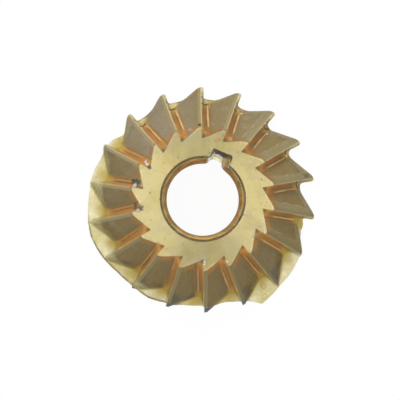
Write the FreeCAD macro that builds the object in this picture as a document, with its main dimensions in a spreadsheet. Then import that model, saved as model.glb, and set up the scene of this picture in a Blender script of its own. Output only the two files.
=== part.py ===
import FreeCAD, Part
import math
import os
import Sketcher
from FreeCAD import Placement, Rotation, Vector

# Single-angle shell milling cutter in its translucent peel-off dip coat.
# Millimetres and degrees. +Z runs along the axis towards the small hub face, z = 0 is the
# underside of the coat, the origin is on the axis and the keyway points along +Y.
# Every piece is drawn with the rake face of tooth 0 in the plane x = 0, and its placement
# then turns the keyway to +Y. Teeth are counted clockwise, seen from the hub face.

SIZES = [
    ("tooth_count", 18, "teeth, each with a gash in front of it"),
    ("tip_diameter", 80.0, "over the tooth corners"),
    ("body_width", 20.0, "large flat face to hub face"),
    ("cone_angle", 50.0, "between the conical face and the large flat face"),
    ("corner_flat", 0.2, "cylindrical flat at the tooth corners"),
    ("bore_diameter", 27.0, "arbor hole in the steel"),
    ("bore_chamfer", 0.5, "at both ends of the bore"),
    ("keyway_width", 7.0, "drive key slot"),
    ("keyway_reach", 29.8, "far wall of the bore to the keyway floor"),
    ("keyway_corner", 1.0, "radius in the corners of the keyway floor"),
    ("overrun", 2.0, "how far the tooth cuts run past the faces"),
    ("keyway_lead", 4.33, "keyway clockwise of the nearest cutting edge, degrees"),
    ("gash_angle", 70.0, "rake face to tooth back, seen along the axis"),
    ("gash_root", 1.0, "radius at the bottom of the gash"),
    ("land_width", 1.1, "ground land behind the cutting edge"),
    ("relief_angle", 12.0, "fall of the land behind the cutting edge"),
    ("grinding_stock", 0.1, "blank left proud of the land, ground off with the relief"),
    ("side_gash_depth", 4.0, "depth of the side tooth gash at the tooth corner"),
    ("side_gash_rise", 12.0, "slope of its root towards the axis, degrees"),
    ("side_gash_angle", 60.0, "rake face to the back of the side gash"),
    ("side_gash_root", 0.6, "radius at its bottom"),
    ("recess_inner", 38.0, "diameter of the clamping ring on the large face"),
    ("recess_outer", 54.0, "diameter where the side teeth begin"),
    ("recess_depth", 1.2, "turned recess between the two"),
    ("recess_wall", 0.6, "run of its steep inner wall"),
    ("film_face", 0.5, "coat on the hub face"),
    ("film_under", 0.4, "coat under the large face"),
    ("film_bore", 0.7, "coat lining the bore"),
    ("film_keyway", 0.5, "coat on the keyway walls"),
    ("film_cone", 0.3, "coat on the lands"),
    ("film_corner", 0.1, "coat at the tooth corners"),
    ("film_rake", 0.3, "coat on the rake faces"),
    ("film_back", 0.25, "coat on the tooth backs"),
    ("pool_radius", 2.0, "hollow surface of the coat pooled in each gash"),
    ("sheet_thickness", 0.6, "film spanning the gaps at the large face"),
    ("web_setback", 4.8, "free edge of the webs between teeth, in from the tip circle"),
    ("key_web_radius", 14.6, "free edge of the film across the keyway"),
    ("drip_reach", 2.5, "farthest drip of the foot film, out from the tip circle"),
    ("bare_reach", 2.2, "longest bare corner, in from the tip circle"),
]

# The drip edge of the film that spread around the large face: degrees clockwise from the
# keyway, and how far the edge runs past the circle of the tooth corners, as a share of
# drip_reach.
DRIP_EDGE = [
    (75.5, -1.84), (80.0, -1.32), (88.0, -1.24), (96.5, -0.2), (106.5, 0.12), (114.5, 0.2),
    (119.5, 0.52), (126.8, 1.0), (129.8, 0.28), (133.5, -0.44), (143.5, -1.08), (156.5, -0.96),
    (166.5, -0.8), (176.5, -0.44), (185.5, -0.04), (196.0, -0.24), (206.5, -0.08),
    (214.5, 0.32), (221.5, 0.56), (228.5, 0.76), (234.5, 0.64), (246.5, 0.24), (261.5, 0.04),
    (267.5, -0.32), (279.5, -0.48), (287.0, -1.68),
]

# Teeth whose corners stand bare out of the coat, and how far in from the corner it ends, as
# a share of bare_reach.
BARE_CORNERS = [(7, 0.7), (8, 1.0), (9, 0.55), (10, 0.3)]
# The bare stretch runs from behind each cutting edge to ahead of it, in degrees.
BARE_BEHIND = 5.5
BARE_AHEAD = 1.0

# Lengths worked out from the sheet, as formulas.
PITCH = "(360 deg / sizes.tooth_count)"
TIP_RADIUS = "(sizes.tip_diameter / 2)"
BORE_RADIUS = "(sizes.bore_diameter / 2)"
BACK_Z = "sizes.film_under"
HUB_Z = "(sizes.film_under + sizes.body_width)"
CONE_RISE = "tan(sizes.cone_angle)"
CONE_FOOT = f"({TIP_RADIUS} + sizes.corner_flat / {CONE_RISE})"
CONE_TOP = f"({CONE_FOOT} - sizes.body_width / {CONE_RISE})"
CONE_TILT = "(90 - sizes.cone_angle)"
BACK_SLOPE = "tan(90 - sizes.gash_angle)"
PLAN_RELIEF = "atan(tan(sizes.relief_angle) / sin(sizes.cone_angle))"
KEYWAY_FLOOR = f"(sizes.keyway_reach - {BORE_RADIUS})"


def gully_radius(edge_radius):
    """Where the tooth back, which starts at the land of the next tooth, meets the rake face."""
    land_x = f"({edge_radius} * sin({PITCH}) - sizes.land_width * cos({PITCH} - {PLAN_RELIEF}))"
    land_y = f"({edge_radius} * cos({PITCH}) + sizes.land_width * sin({PITCH} - {PLAN_RELIEF}))"
    return f"({land_y} - {land_x} * {BACK_SLOPE})"


GULLY_FOOT = gully_radius(CONE_FOOT)
GULLY_TOP = gully_radius(CONE_TOP)
GASH_TILT = f"atan(({GULLY_FOOT} - {GULLY_TOP}) / sizes.body_width)"
GASH_BACK = f"atan({BACK_SLOPE} * cos({GASH_TILT}))"
GASH_HEIGHT = f"({TIP_RADIUS} - {GULLY_FOOT} + sizes.overrun)"


def make_sheet(doc):
    """One row for each driving dimension: name, value with its alias, and what it is."""
    sheet = doc.addObject("Spreadsheet::Sheet", "sizes")
    for row, (alias, value, note) in enumerate(SIZES, start=1):
        sheet.set(f"A{row}", alias)
        sheet.set(f"B{row}", str(value))
        sheet.setAlias(f"B{row}", alias)
        sheet.set(f"C{row}", note)
    doc.recompute()
    return sheet


def number(sheet, formula):
    """The value of a formula, as a plain number."""
    result = sheet.evalExpression(formula)
    return float(getattr(result, "Value", result))


def origin_part(body, role):
    """A plane or axis of a body's own origin."""
    for feature in body.Origin.OriginFeatures:
        if feature.Role == role:
            return feature
    raise ValueError(f"no {role} in {body.Name}")


class Outline:
    """A sketch whose points are bound to the sheet."""

    def __init__(self, body, sheet, name, role):
        self.sheet = sheet
        self.sketch = body.newObject("Sketcher::SketchObject", name)
        self.sketch.AttachmentSupport = [(origin_part(body, role), "")]
        self.sketch.MapMode = "FlatFace"

    def set_off(self, base, axis, angle):
        """Move the sketch off its plane: a base point and a turn about one axis, as formulas."""
        point = Vector(*[number(self.sheet, formula) for formula in base])
        turn = Rotation(axis, number(self.sheet, angle))
        self.sketch.AttachmentOffset = Placement(point, turn)
        for letter, formula in zip("xyz", base):
            self.sketch.setExpression(f"AttachmentOffset.Base.{letter}", formula)
        self.sketch.setExpression("AttachmentOffset.Rotation.Angle", angle)

    def drive(self, kind, *places, formula):
        """Add a dimension held by a formula."""
        value = number(self.sheet, formula)
        if kind == "Angle":
            value = math.radians(value)
        index = self.sketch.addConstraint(Sketcher.Constraint(kind, *places, value))
        self.sketch.setExpression(f"Constraints[{index}]", formula)

    def pin(self, geometry, end, x_formula, y_formula):
        """Hold one end of a line or arc at a point."""
        if number(self.sheet, x_formula) == 0:
            self.sketch.addConstraint(Sketcher.Constraint("PointOnObject", geometry, end, -2))
        else:
            self.drive("DistanceX", -1, 1, geometry, end, formula=x_formula)
        if number(self.sheet, y_formula) == 0:
            self.sketch.addConstraint(Sketcher.Constraint("PointOnObject", geometry, end, -1))
        else:
            self.drive("DistanceY", -1, 1, geometry, end, formula=y_formula)

    def line(self, start, end):
        return self.sketch.addGeometry(Part.LineSegment(start, end), False)

    def join(self, first, first_end, second, second_end):
        self.sketch.addConstraint(
            Sketcher.Constraint("Coincident", first, first_end, second, second_end))

    def polygon(self, corners):
        """A closed outline of straight lines through corners given as pairs of formulas."""
        points = [Vector(number(self.sheet, x), number(self.sheet, y), 0) for x, y in corners]
        lines = [self.line(points[i - 1], points[i]) for i in range(len(points))]
        for i, (x_formula, y_formula) in enumerate(corners):
            following = lines[(i + 1) % len(lines)]
            self.join(lines[i], 2, following, 1)
            self.pin(lines[i], 2, x_formula, y_formula)

    def vee(self, root, back_angle, wall_end, back_end, radius):
        """A notch: upright wall, rounded root at the corner `root`, and a sloping back."""
        root_x, root_y = number(self.sheet, root[0]), number(self.sheet, root[1])
        slope = math.radians(number(self.sheet, back_angle))
        wall_y, back_x = number(self.sheet, wall_end), number(self.sheet, back_end)
        size = number(self.sheet, radius)
        up = 1 if wall_y > root_y else -1
        run = size / math.tan((math.pi / 2 - up * slope) / 2)
        centre = Vector(root_x + size, root_y + up * run, 0)
        wall_tangent = Vector(root_x, centre.y, 0)
        back_tangent = Vector(root_x + run * math.cos(slope), root_y + run * math.sin(slope), 0)
        back_point = Vector(back_x, root_y + (back_x - root_x) * math.tan(slope), 0)
        wall_point = Vector(root_x, wall_y, 0)
        close_point = Vector(back_x, wall_y, 0)

        wall = self.line(wall_point, wall_tangent)
        circle = Part.Circle(centre, Vector(0, 0, 1), size)
        begin = math.atan2(wall_tangent.y - centre.y, wall_tangent.x - centre.x)
        finish = math.atan2(back_tangent.y - centre.y, back_tangent.x - centre.x)
        ends = (begin, finish) if up > 0 else (finish, begin)
        bottom = self.sketch.addGeometry(Part.ArcOfCircle(circle, *ends), False)
        back = self.line(back_tangent, back_point)
        rise = self.line(back_point, close_point)
        lid = self.line(close_point, wall_point)

        wall_end_of_arc, back_end_of_arc = (1, 2) if up > 0 else (2, 1)
        add = self.sketch.addConstraint
        add(Sketcher.Constraint("Tangent", wall, 2, bottom, wall_end_of_arc))
        add(Sketcher.Constraint("Tangent", bottom, back_end_of_arc, back, 1))
        self.join(back, 2, rise, 1)
        self.join(rise, 2, lid, 1)
        self.join(lid, 2, wall, 1)
        add(Sketcher.Constraint("Vertical", wall))
        add(Sketcher.Constraint("Vertical", rise))
        add(Sketcher.Constraint("Horizontal", lid))
        self.pin(wall, 1, root[0], wall_end)
        self.drive("Radius", bottom, formula=radius)
        self.drive("Angle", back, formula=back_angle)
        back_y = f"({root[1]} + ({back_end} - ({root[0]})) * tan({back_angle}))"
        self.pin(back, 2, back_end, back_y)


def revolve(body, outline, name):
    """A full turn of an outline about the sketch's own upright axis."""
    feature = body.newObject("PartDesign::Revolution", name)
    feature.Profile = outline.sketch
    feature.ReferenceAxis = (outline.sketch, ["V_Axis"])
    feature.Angle = 360
    return feature


def pocket_through(body, outline, name):
    """A cut both ways through everything."""
    feature = body.newObject("PartDesign::Pocket", name)
    feature.Profile = outline.sketch
    feature.SideType = "Symmetric"
    feature.Type = "ThroughAll"
    return feature


def pocket_run(body, outline, name, back_run, front_run):
    """A straight cut of a given run against the sketch's normal, and another along it."""
    feature = body.newObject("PartDesign::Pocket", name)
    feature.Profile = outline.sketch
    feature.SideType = "Two sides"
    feature.Type = "Length"
    feature.Type2 = "Length"
    feature.setExpression("Length", back_run)
    feature.setExpression("Length2", front_run)
    return feature


def gash_pocket(body, outline, name):
    """The run of a gash tool from above the hub face to below the large face."""
    drop = f"({HUB_Z} + {GASH_HEIGHT} * sin({GASH_TILT}))"
    back_run = f"({drop} / cos({GASH_TILT}) + sizes.overrun)"
    return pocket_run(body, outline, name, back_run, "sizes.overrun")


def steel_profile(body, sheet):
    """Half section of the turned and ground blank, before the teeth are cut."""
    outline = Outline(body, sheet, "blank_section", "XZ_Plane")
    stock = "(sizes.grinding_stock / sin(sizes.cone_angle))"
    recess_z = f"({BACK_Z} + sizes.recess_depth)"
    bevel_radius = f"({BORE_RADIUS} + sizes.bore_chamfer)"
    outline.polygon([
        (BORE_RADIUS, f"({BACK_Z} + sizes.bore_chamfer)"),
        (bevel_radius, BACK_Z),
        ("(sizes.recess_inner / 2)", BACK_Z),
        ("(sizes.recess_inner / 2 + sizes.recess_wall)", recess_z),
        ("(sizes.recess_outer / 2 - sizes.recess_depth)", recess_z),
        ("(sizes.recess_outer / 2)", BACK_Z),
        (TIP_RADIUS, BACK_Z),
        (TIP_RADIUS, f"({BACK_Z} + sizes.corner_flat + {stock} * {CONE_RISE})"),
        (f"({CONE_TOP} + {stock})", HUB_Z),
        (bevel_radius, HUB_Z),
        (BORE_RADIUS, f"({HUB_Z} - sizes.bore_chamfer)"),
    ])
    return outline


def coat_profile(body, sheet):
    """Half section of the space that the coat and the steel fill together."""
    outline = Outline(body, sheet, "coat_section", "XZ_Plane")
    bore = f"({BORE_RADIUS} - sizes.film_bore)"
    rim = f"({TIP_RADIUS} + sizes.film_corner)"
    cone_shift = "(sizes.film_cone / sin(sizes.cone_angle))"
    rim_z = f"({BACK_Z} + ({CONE_FOOT} + {cone_shift} - {rim}) * {CONE_RISE})"
    top_z = f"({HUB_Z} + sizes.film_face)"
    top_radius = f"({CONE_TOP} + {cone_shift} - sizes.film_face / {CONE_RISE})"
    outline.polygon([
        (bore, "0"),
        (rim, "0"),
        (rim, rim_z),
        (top_radius, top_z),
        (bore, top_z),
    ])
    return outline


def gash_outline(body, sheet, name, wall_film, back_film, root_radius):
    """Section of one gash, square to its root, with the film's thickness on both faces."""
    outline = Outline(body, sheet, name, "XY_Plane")
    outline.set_off(("0", GULLY_TOP, HUB_Z), Vector(1, 0, 0), GASH_TILT)
    root_y = f"({wall_film} * tan({GASH_BACK}) + {back_film} / cos({GASH_BACK}))"
    outline.vee(
        (wall_film, root_y),
        GASH_BACK,
        wall_end=GASH_HEIGHT,
        back_end=f"({TIP_RADIUS} * sin({PITCH}) + sizes.overrun)",
        radius=root_radius,
    )
    return outline


def relief_outline(body, sheet):
    """Section of the cut that grinds one land, square to its cutting edge."""
    outline = Outline(body, sheet, "relief_section", "XY_Plane")
    outline.set_off(("0", CONE_TOP, HUB_Z), Vector(1, 0, 0), CONE_TILT)
    ahead = "sizes.overrun"
    behind = "(-sizes.land_width - sizes.overrun)"
    fall = "tan(sizes.relief_angle)"
    above = f"({ahead} * {fall} + sizes.overrun)"
    outline.polygon([
        (ahead, f"({ahead} * {fall})"),
        (ahead, above),
        (behind, above),
        (behind, f"({behind} * {fall})"),
    ])
    return outline


def side_gash_outline(body, sheet):
    """Section of one side tooth gash, which runs out into the recess of the large face."""
    outline = Outline(body, sheet, "side_gash_section", "XY_Plane")
    outline.set_off(
        ("0", TIP_RADIUS, BACK_Z), Vector(1, 0, 0), "(90 + sizes.side_gash_rise)")
    depth = "sizes.side_gash_depth"
    outline.vee(
        ("0", depth),
        "(sizes.side_gash_angle - 90)",
        wall_end="(-sizes.overrun)",
        back_end=f"({depth} * tan(sizes.side_gash_angle) + sizes.overrun)",
        radius="sizes.side_gash_root",
    )
    return outline


def keyway_outline(body, sheet, name, film):
    """The slot from the axis to the keyway floor, with the film's thickness on its walls."""
    outline = Outline(body, sheet, name, "XY_Plane")
    turn = "(-sizes.keyway_lead)"
    outline.set_off(("0", "0", f"({HUB_Z} + sizes.film_face)"), Vector(0, 0, 1), turn)
    half = f"(sizes.keyway_width / 2 - {film})"
    floor = f"({KEYWAY_FLOOR} - {film})"
    half_value, floor_value = number(sheet, half), number(sheet, floor)
    radius = number(sheet, "sizes.keyway_corner")
    lower_left, lower_right = Vector(-half_value, 0, 0), Vector(half_value, 0, 0)
    right_side = Vector(half_value, floor_value - radius, 0)
    left_side = Vector(-half_value, floor_value - radius, 0)
    floor_right = Vector(half_value - radius, floor_value, 0)
    floor_left = Vector(radius - half_value, floor_value, 0)

    base = outline.line(lower_left, lower_right)
    right = outline.line(lower_right, right_side)
    corner_centre = Vector(half_value - radius, floor_value - radius, 0)
    circle = Part.Circle(corner_centre, Vector(0, 0, 1), radius)
    right_arc = outline.sketch.addGeometry(Part.ArcOfCircle(circle, 0, math.pi / 2), False)
    top = outline.line(floor_right, floor_left)
    other_centre = Vector(radius - half_value, floor_value - radius, 0)
    circle = Part.Circle(other_centre, Vector(0, 0, 1), radius)
    left_arc = outline.sketch.addGeometry(Part.ArcOfCircle(circle, math.pi / 2, math.pi), False)
    left = outline.line(left_side, lower_left)

    add = outline.sketch.addConstraint
    add(Sketcher.Constraint("Tangent", right, 2, right_arc, 1))
    add(Sketcher.Constraint("Tangent", right_arc, 2, top, 1))
    add(Sketcher.Constraint("Tangent", top, 2, left_arc, 1))
    add(Sketcher.Constraint("Tangent", left_arc, 2, left, 1))
    outline.join(left, 2, base, 1)
    outline.join(base, 2, right, 1)
    add(Sketcher.Constraint("Vertical", left))
    add(Sketcher.Constraint("Vertical", right))
    add(Sketcher.Constraint("Horizontal", top))
    outline.pin(base, 1, f"(-{half})", "0")
    outline.pin(base, 2, half, "0")
    outline.drive("DistanceY", -1, 1, top, 1, formula=floor)
    outline.drive("Radius", right_arc, formula="sizes.keyway_corner")
    outline.drive("Radius", left_arc, formula="sizes.keyway_corner")
    return outline


def key_mouth_outline(body, sheet):
    """The part of the coated keyway that is open right through, up to the film's free edge."""
    outline = Outline(body, sheet, "key_mouth_section", "XY_Plane")
    outline.set_off(("0", "0", "0"), Vector(0, 0, 1), "(-sizes.keyway_lead)")
    half = "(sizes.keyway_width / 2 - sizes.film_keyway)"
    half_value, radius = number(sheet, half), number(sheet, "sizes.key_web_radius")
    side_y = math.sqrt(radius ** 2 - half_value ** 2)
    base = outline.line(Vector(-half_value, 0, 0), Vector(half_value, 0, 0))
    right = outline.line(Vector(half_value, 0, 0), Vector(half_value, side_y, 0))
    circle = Part.Circle(Vector(0, 0, 0), Vector(0, 0, 1), radius)
    ends = (math.atan2(side_y, half_value), math.atan2(side_y, -half_value))
    edge = outline.sketch.addGeometry(Part.ArcOfCircle(circle, *ends), False)
    left = outline.line(Vector(-half_value, side_y, 0), Vector(-half_value, 0, 0))
    add = outline.sketch.addConstraint
    outline.join(base, 2, right, 1)
    outline.join(right, 2, edge, 1)
    outline.join(edge, 2, left, 1)
    outline.join(left, 2, base, 1)
    add(Sketcher.Constraint("Vertical", left))
    add(Sketcher.Constraint("Vertical", right))
    add(Sketcher.Constraint("Coincident", edge, 3, -1, 1))
    outline.pin(base, 1, f"(-{half})", "0")
    outline.pin(base, 2, half, "0")
    outline.drive("Radius", edge, formula="sizes.key_web_radius")
    return outline


def repeat_round(doc, body, originals, name):
    """Copies of a tooth's cuts at the pitch of the teeth."""
    pattern = body.newObject("PartDesign::PolarPattern", name)
    pattern.Originals = originals
    pattern.Axis = (origin_part(body, "Z_Axis"), [""])
    pattern.Angle = 360
    pattern.Occurrences = 2
    pattern.setExpression("Occurrences", "sizes.tooth_count")
    body.Tip = pattern
    doc.recompute()
    return pattern


def keyway_to_y(piece):
    """Turn a finished piece so that the keyway points along +Y."""
    piece.Placement = Placement(Vector(0, 0, 0), Rotation(Vector(0, 0, 1), 1))
    piece.setExpression("Placement.Rotation.Angle", "sizes.keyway_lead")


def make_cutter(doc, sheet):
    """The steel: turned blank, gashes, ground lands, side gashes and keyway."""
    body = doc.addObject("PartDesign::Body", "cutter_body")
    body.Label = "cutter_body"
    revolve(body, steel_profile(body, sheet), "blank")
    doc.recompute()
    gash = gash_pocket(
        body, gash_outline(body, sheet, "gash_section", "0", "0", "sizes.gash_root"), "gash")
    doc.recompute()
    relief_run = "(sizes.body_width / sin(sizes.cone_angle) + sizes.overrun)"
    relief = pocket_run(
        body, relief_outline(body, sheet), "relief", relief_run, "sizes.overrun")
    doc.recompute()
    side_run = f"({TIP_RADIUS} - sizes.recess_inner / 2)"
    side_gash = pocket_run(
        body, side_gash_outline(body, sheet), "side_gash", "sizes.overrun", side_run)
    doc.recompute()
    repeat_round(doc, body, [gash, relief, side_gash], "teeth")
    keyway = pocket_through(body, keyway_outline(body, sheet, "keyway_section", "0"), "keyway")
    body.Tip = keyway
    keyway_to_y(body)
    doc.recompute()
    return body


def make_coat_form(doc, sheet):
    """The solid form of the dipped cutter, steel included, without the film at its foot."""
    body = doc.addObject("PartDesign::Body", "coat_form")
    body.Label = "coat_form"
    revolve(body, coat_profile(body, sheet), "dipped_blank")
    doc.recompute()
    outline = gash_outline(
        body, sheet, "pool_section", "sizes.film_rake", "sizes.film_back", "sizes.pool_radius")
    gash = gash_pocket(body, outline, "pooled_gash")
    doc.recompute()
    repeat_round(doc, body, [gash], "pooled_gashes")
    slot_outline = keyway_outline(body, sheet, "coated_slot_section", "sizes.film_keyway")
    slot = body.newObject("PartDesign::Pocket", "coated_slot")
    slot.Profile = slot_outline.sketch
    slot.Type = "Length"
    slot.Length = 1
    slot.setExpression("Length", f"({HUB_Z} + sizes.film_face - sizes.sheet_thickness)")
    doc.recompute()
    mouth = pocket_through(body, key_mouth_outline(body, sheet), "key_mouth")
    body.Tip = mouth
    keyway_to_y(body)
    doc.recompute()
    return body


def make_webs(doc):
    """The film that closes the foot of every gash, up to its free edge."""
    disc = doc.addObject("Part::Cylinder", "web_disc")
    disc.setExpression("Radius", f"({TIP_RADIUS} - sizes.web_setback)")
    disc.setExpression("Height", "sizes.sheet_thickness")
    return disc


def clockwise(radius, degrees):
    """A point at a radius and an angle clockwise from the keyway."""
    turn = math.radians(degrees)
    return Vector(radius * math.sin(turn), radius * math.cos(turn), 0)


def make_drip_sheet(doc, sheet):
    """The film that spread past the teeth: a free drip edge, closed through the axis."""
    tip_radius = number(sheet, TIP_RADIUS)
    drip_reach = number(sheet, "sizes.drip_reach")
    edge_points = [
        clockwise(tip_radius + share * drip_reach, angle) for angle, share in DRIP_EDGE]
    edge = Part.BSplineCurve()
    edge.interpolate(edge_points)
    axis_point = Vector(0, 0, 0)
    sides = [
        Part.LineSegment(axis_point, edge_points[0]).toShape(),
        edge.toShape(),
        Part.LineSegment(edge_points[-1], axis_point).toShape(),
    ]
    face = Part.Face(Part.Wire(sides))
    drip = doc.addObject("Part::Feature", "drip_sheet")
    drip.Shape = face.extrude(Vector(0, 0, number(sheet, "sizes.sheet_thickness")))
    return drip


def make_bare_corners(doc):
    """Sectors outside the coat's edge at the teeth whose corners came out of the dip bare."""
    sectors = []
    for tooth, share in BARE_CORNERS:
        setback = f"(-{share} * sizes.bare_reach)"
        for past, part_of_name in (("sizes.overrun", "outer"), (setback, "inner")):
            sector = doc.addObject("Part::Cylinder", f"bare_{part_of_name}_{tooth}")
            sector.setExpression("Radius", f"({TIP_RADIUS} + {past})")
            sector.setExpression("Height", "(sizes.body_width / 2)")
            sector.Angle = BARE_BEHIND + BARE_AHEAD
            sector.Placement = Placement(Vector(0, 0, 0), Rotation(Vector(0, 0, 1), 1))
            sector.setExpression(
                "Placement.Rotation.Angle",
                f"(90 deg + sizes.keyway_lead * 1 deg - {tooth} * {PITCH} - {BARE_AHEAD} deg)")
            sector.setExpression("Placement.Base.z", "(-sizes.film_under)")
            sectors.append(sector)
    rings = []
    for i in range(0, len(sectors), 2):
        ring = doc.addObject("Part::Cut", f"bare_ring_{i // 2}")
        ring.Base, ring.Tool = sectors[i], sectors[i + 1]
        rings.append(ring)
    corners = doc.addObject("Part::MultiFuse", "bare_corners")
    corners.Shapes = rings
    return corners


def make_coat(doc, sheet, cutter):
    """The peel-off coat: the dipped form and its foot film, with the steel taken out."""
    form = make_coat_form(doc, sheet)
    foot = doc.addObject("Part::MultiFuse", "foot_film")
    foot.Shapes = [make_webs(doc), make_drip_sheet(doc, sheet)]
    inner_disc = doc.addObject("Part::Cylinder", "foot_hole")
    inner_disc.setExpression("Radius", "(sizes.recess_inner / 2)")
    inner_disc.setExpression("Height", "(2 * sizes.sheet_thickness)")
    inner_disc.setExpression("Placement.Base.z", "(-sizes.sheet_thickness / 2)")
    foot_ring = doc.addObject("Part::Cut", "foot_ring")
    foot_ring.Base, foot_ring.Tool = foot, inner_disc
    whole = doc.addObject("Part::Fuse", "dipped_whole")
    whole.Base, whole.Tool = form, foot_ring
    trimmed = doc.addObject("Part::Cut", "dipped_trimmed")
    trimmed.Base, trimmed.Tool = whole, make_bare_corners(doc)
    coat = doc.addObject("Part::Cut", "peel_coating")
    coat.Base, coat.Tool = trimmed, cutter
    coat.Label = "peel_coating"
    doc.recompute()
    return coat


def check_document(doc):
    """Stop if any object failed, before a file is written."""
    for item in doc.Objects:
        if "Invalid" in item.State or "Error" in item.State:
            raise RuntimeError(f"{item.Name} failed: {item.State}")


def write_piece(piece):
    shape = piece.Shape
    if shape.isNull() or not shape.isValid():
        raise RuntimeError(f"{piece.Label} has no valid shape")
    shape.exportStep(os.path.join("parts", f"{piece.Label}.step"))
    print(piece.Label, "solids", len(shape.Solids), "faces", len(shape.Faces),
          "volume", round(shape.Volume, 1), "box", shape.BoundBox)


def main():
    doc = FreeCAD.newDocument("angle_cutter")
    sheet = make_sheet(doc)
    cutter = make_cutter(doc, sheet)
    coat = make_coat(doc, sheet, cutter)
    check_document(doc)
    os.makedirs("parts", exist_ok=True)
    for piece in (cutter, coat):
        write_piece(piece)


main()
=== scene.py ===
import math

import bpy
import numpy as np
from mathutils import Matrix, Vector


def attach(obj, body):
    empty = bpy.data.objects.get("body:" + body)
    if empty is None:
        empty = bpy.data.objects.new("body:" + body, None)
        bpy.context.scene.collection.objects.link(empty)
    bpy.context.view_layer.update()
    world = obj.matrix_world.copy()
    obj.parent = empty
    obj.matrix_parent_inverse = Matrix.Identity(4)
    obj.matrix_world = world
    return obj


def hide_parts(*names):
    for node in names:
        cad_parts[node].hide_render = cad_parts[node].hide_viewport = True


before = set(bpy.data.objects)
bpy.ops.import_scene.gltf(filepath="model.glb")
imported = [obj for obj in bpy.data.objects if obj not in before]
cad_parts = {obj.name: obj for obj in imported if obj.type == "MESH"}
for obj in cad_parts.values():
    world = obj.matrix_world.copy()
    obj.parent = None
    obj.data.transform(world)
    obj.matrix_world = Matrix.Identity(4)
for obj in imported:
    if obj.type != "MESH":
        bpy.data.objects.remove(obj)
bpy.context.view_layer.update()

# An angle milling cutter sealed in a translucent amber peel-off coat, lying on a pale floor.
# Metres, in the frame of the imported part: +Z along the axis, keyway along +Y.
MM = 0.001

# The picture's up direction is this many degrees anticlockwise of the keyway.
PICTURE_TURN = 23.5

# Camera, in millimetres: right and up in the picture, and height above the floor.
CAMERA_AT = (-0.908, -3.117, 226.0)
CAMERA_AIM = (-0.94, -0.09, 0.0)
CAMERA_LENS = 57.1

# The steel's driving sizes, in millimetres and degrees.
TEETH = 18
TIP_RADIUS = 40.0
BODY_WIDTH = 20.0
CONE_ANGLE = 50.0
CORNER_FLAT = 0.2
BORE_RADIUS = 13.5
KEYWAY_HALF = 3.5
KEYWAY_FLOOR = 16.3
KEYWAY_LEAD = 4.33
GASH_ANGLE = 70.0
LAND_WIDTH = 1.1
RELIEF_ANGLE = 12.0

# Thickness of the coat over each kind of face, of the film on the floor around the foot and of
# the web at the bottom of the keyway, in millimetres.
FILM_UNDER = 0.4
FILM_FACE = 0.43
FILM_CONE = 0.36
FILM_TIP = 0.1
FILM_RAKE = 0.4
FILM_BACK = 0.4
FILM_BORE = 0.7
FILM_KEYWAY = 0.45
SHEET = 0.65
KEY_SHEET = 0.3
FILM_FOOT = 0.1

# Thickness of the built coat over the hub, in millimetres. The skin never stands above it.
SOLID_FACE_FILM = 0.5

# The web at the bottom of the keyway reaches in to this radius, in millimetres.
KEY_WEB_RADIUS = 14.6

# Thicker places in millimetres: on the right wall of the keyway, by depth under the hub and by
# distance from the axis, and at the tooth corners on the side where the webs curl, by radius.
KEY_POOL = 1.9
KEY_POOL_DEPTHS = (0.5, 7.0)
KEY_POOL_PLACE = (10.5, 13.5)
TIP_POOL = 0.4
TIP_POOL_RADII = (35.0, 38.0)

# Width of the rounded edges and fillets of the coat, in millimetres.
POOL_BLEND = 4.2
EDGE_BLEND = 0.8
TIP_BLEND = 0.3
GASH_FOOT_BLEND = 0.5
FOOT_BLEND = 1.0
RIM_BLEND = 0.6
KEY_SIDE_BLEND = 0.5
KEY_CORNER_BLEND = 2.2
KEY_WEB_BLEND = 0.5
KEY_BORE_BLEND = 2.0
BORE_EDGE_BLEND = 0.8
UNDER_BLEND = 0.25

# Waves of the coat's skin in millimetres: height over each kind of face, and length.
GASH_WAVE = 0.08
CONE_WAVE = 0.05
FACE_WAVE = 0.04
BODY_WAVE_LENGTH = 9.0
SHEET_WAVE = 0.12
SHEET_WAVE_LENGTH = 6.0
CURL_WAVE = 0.30
CURL_WAVE_LENGTH = 3.2

# Where the webs curl: middle of that side in degrees clockwise from the picture's up direction,
# and the radii in millimetres over which the curls begin.
CURL_SIDE = 40
CURL_RADII = (30.5, 32.5)

# The free edge of the film around the foot: degrees clockwise from the keyway, and how far
# the edge runs past the circle of the tooth corners. It drips on one side of the part, and
# elsewhere it is the edge of the webs between the teeth.
FOOT_EDGE = [
    (-68.0, -3.9), (-48.0, -3.7), (-35.0, -4.1), (-13.5, -4.5), (4.0, -5.0), (16.0, -5.6),
    (34.0, -6.8), (52.0, -6.1), (66.0, -5.2), (72.0, -4.6), (76.0, -4.2), (80.0, -3.2),
    (88.0, -2.9), (96.5, -0.1), (106.5, 0.8), (114.5, 1.0), (119.5, 1.7), (126.8, 2.6),
    (129.8, 0.7), (133.5, -1.1), (143.5, -2.7), (156.5, -2.4), (166.5, -2.0), (176.5, -1.1),
    (185.5, -0.1), (196.0, -0.6), (206.5, -0.2), (214.5, 0.8), (221.5, 1.4), (228.5, 1.9),
    (234.5, 1.6), (246.5, 0.6), (261.5, 0.1), (267.5, -0.8), (279.5, -1.2), (287.0, -4.2),
    (292.0, -3.9),
]

# Teeth whose corners stand bare, counted clockwise from the one beside the keyway, and how
# far in from the corner the coat ends. There its skin sinks into the steel, over a soft edge.
# The middle of a tooth lies some degrees behind its cutting edge.
BARE_CORNERS = {7: 1.5, 8: 2.2, 9: 1.2, 10: 0.6}
BARE_SINK = 0.9
BARE_SOFT = 0.3
TOOTH_LAG = 3

# The bead along the film's free edge: height, inset and width in millimetres. Its side of the
# part is given in degrees clockwise from the keyway, with how far it reaches either way.
BEAD_HEIGHT = 0.35
BEAD_INSET = 0.3
BEAD_WIDTH = 0.35
BEAD_SIDE = 205
BEAD_REACH = (45, 25)

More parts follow.
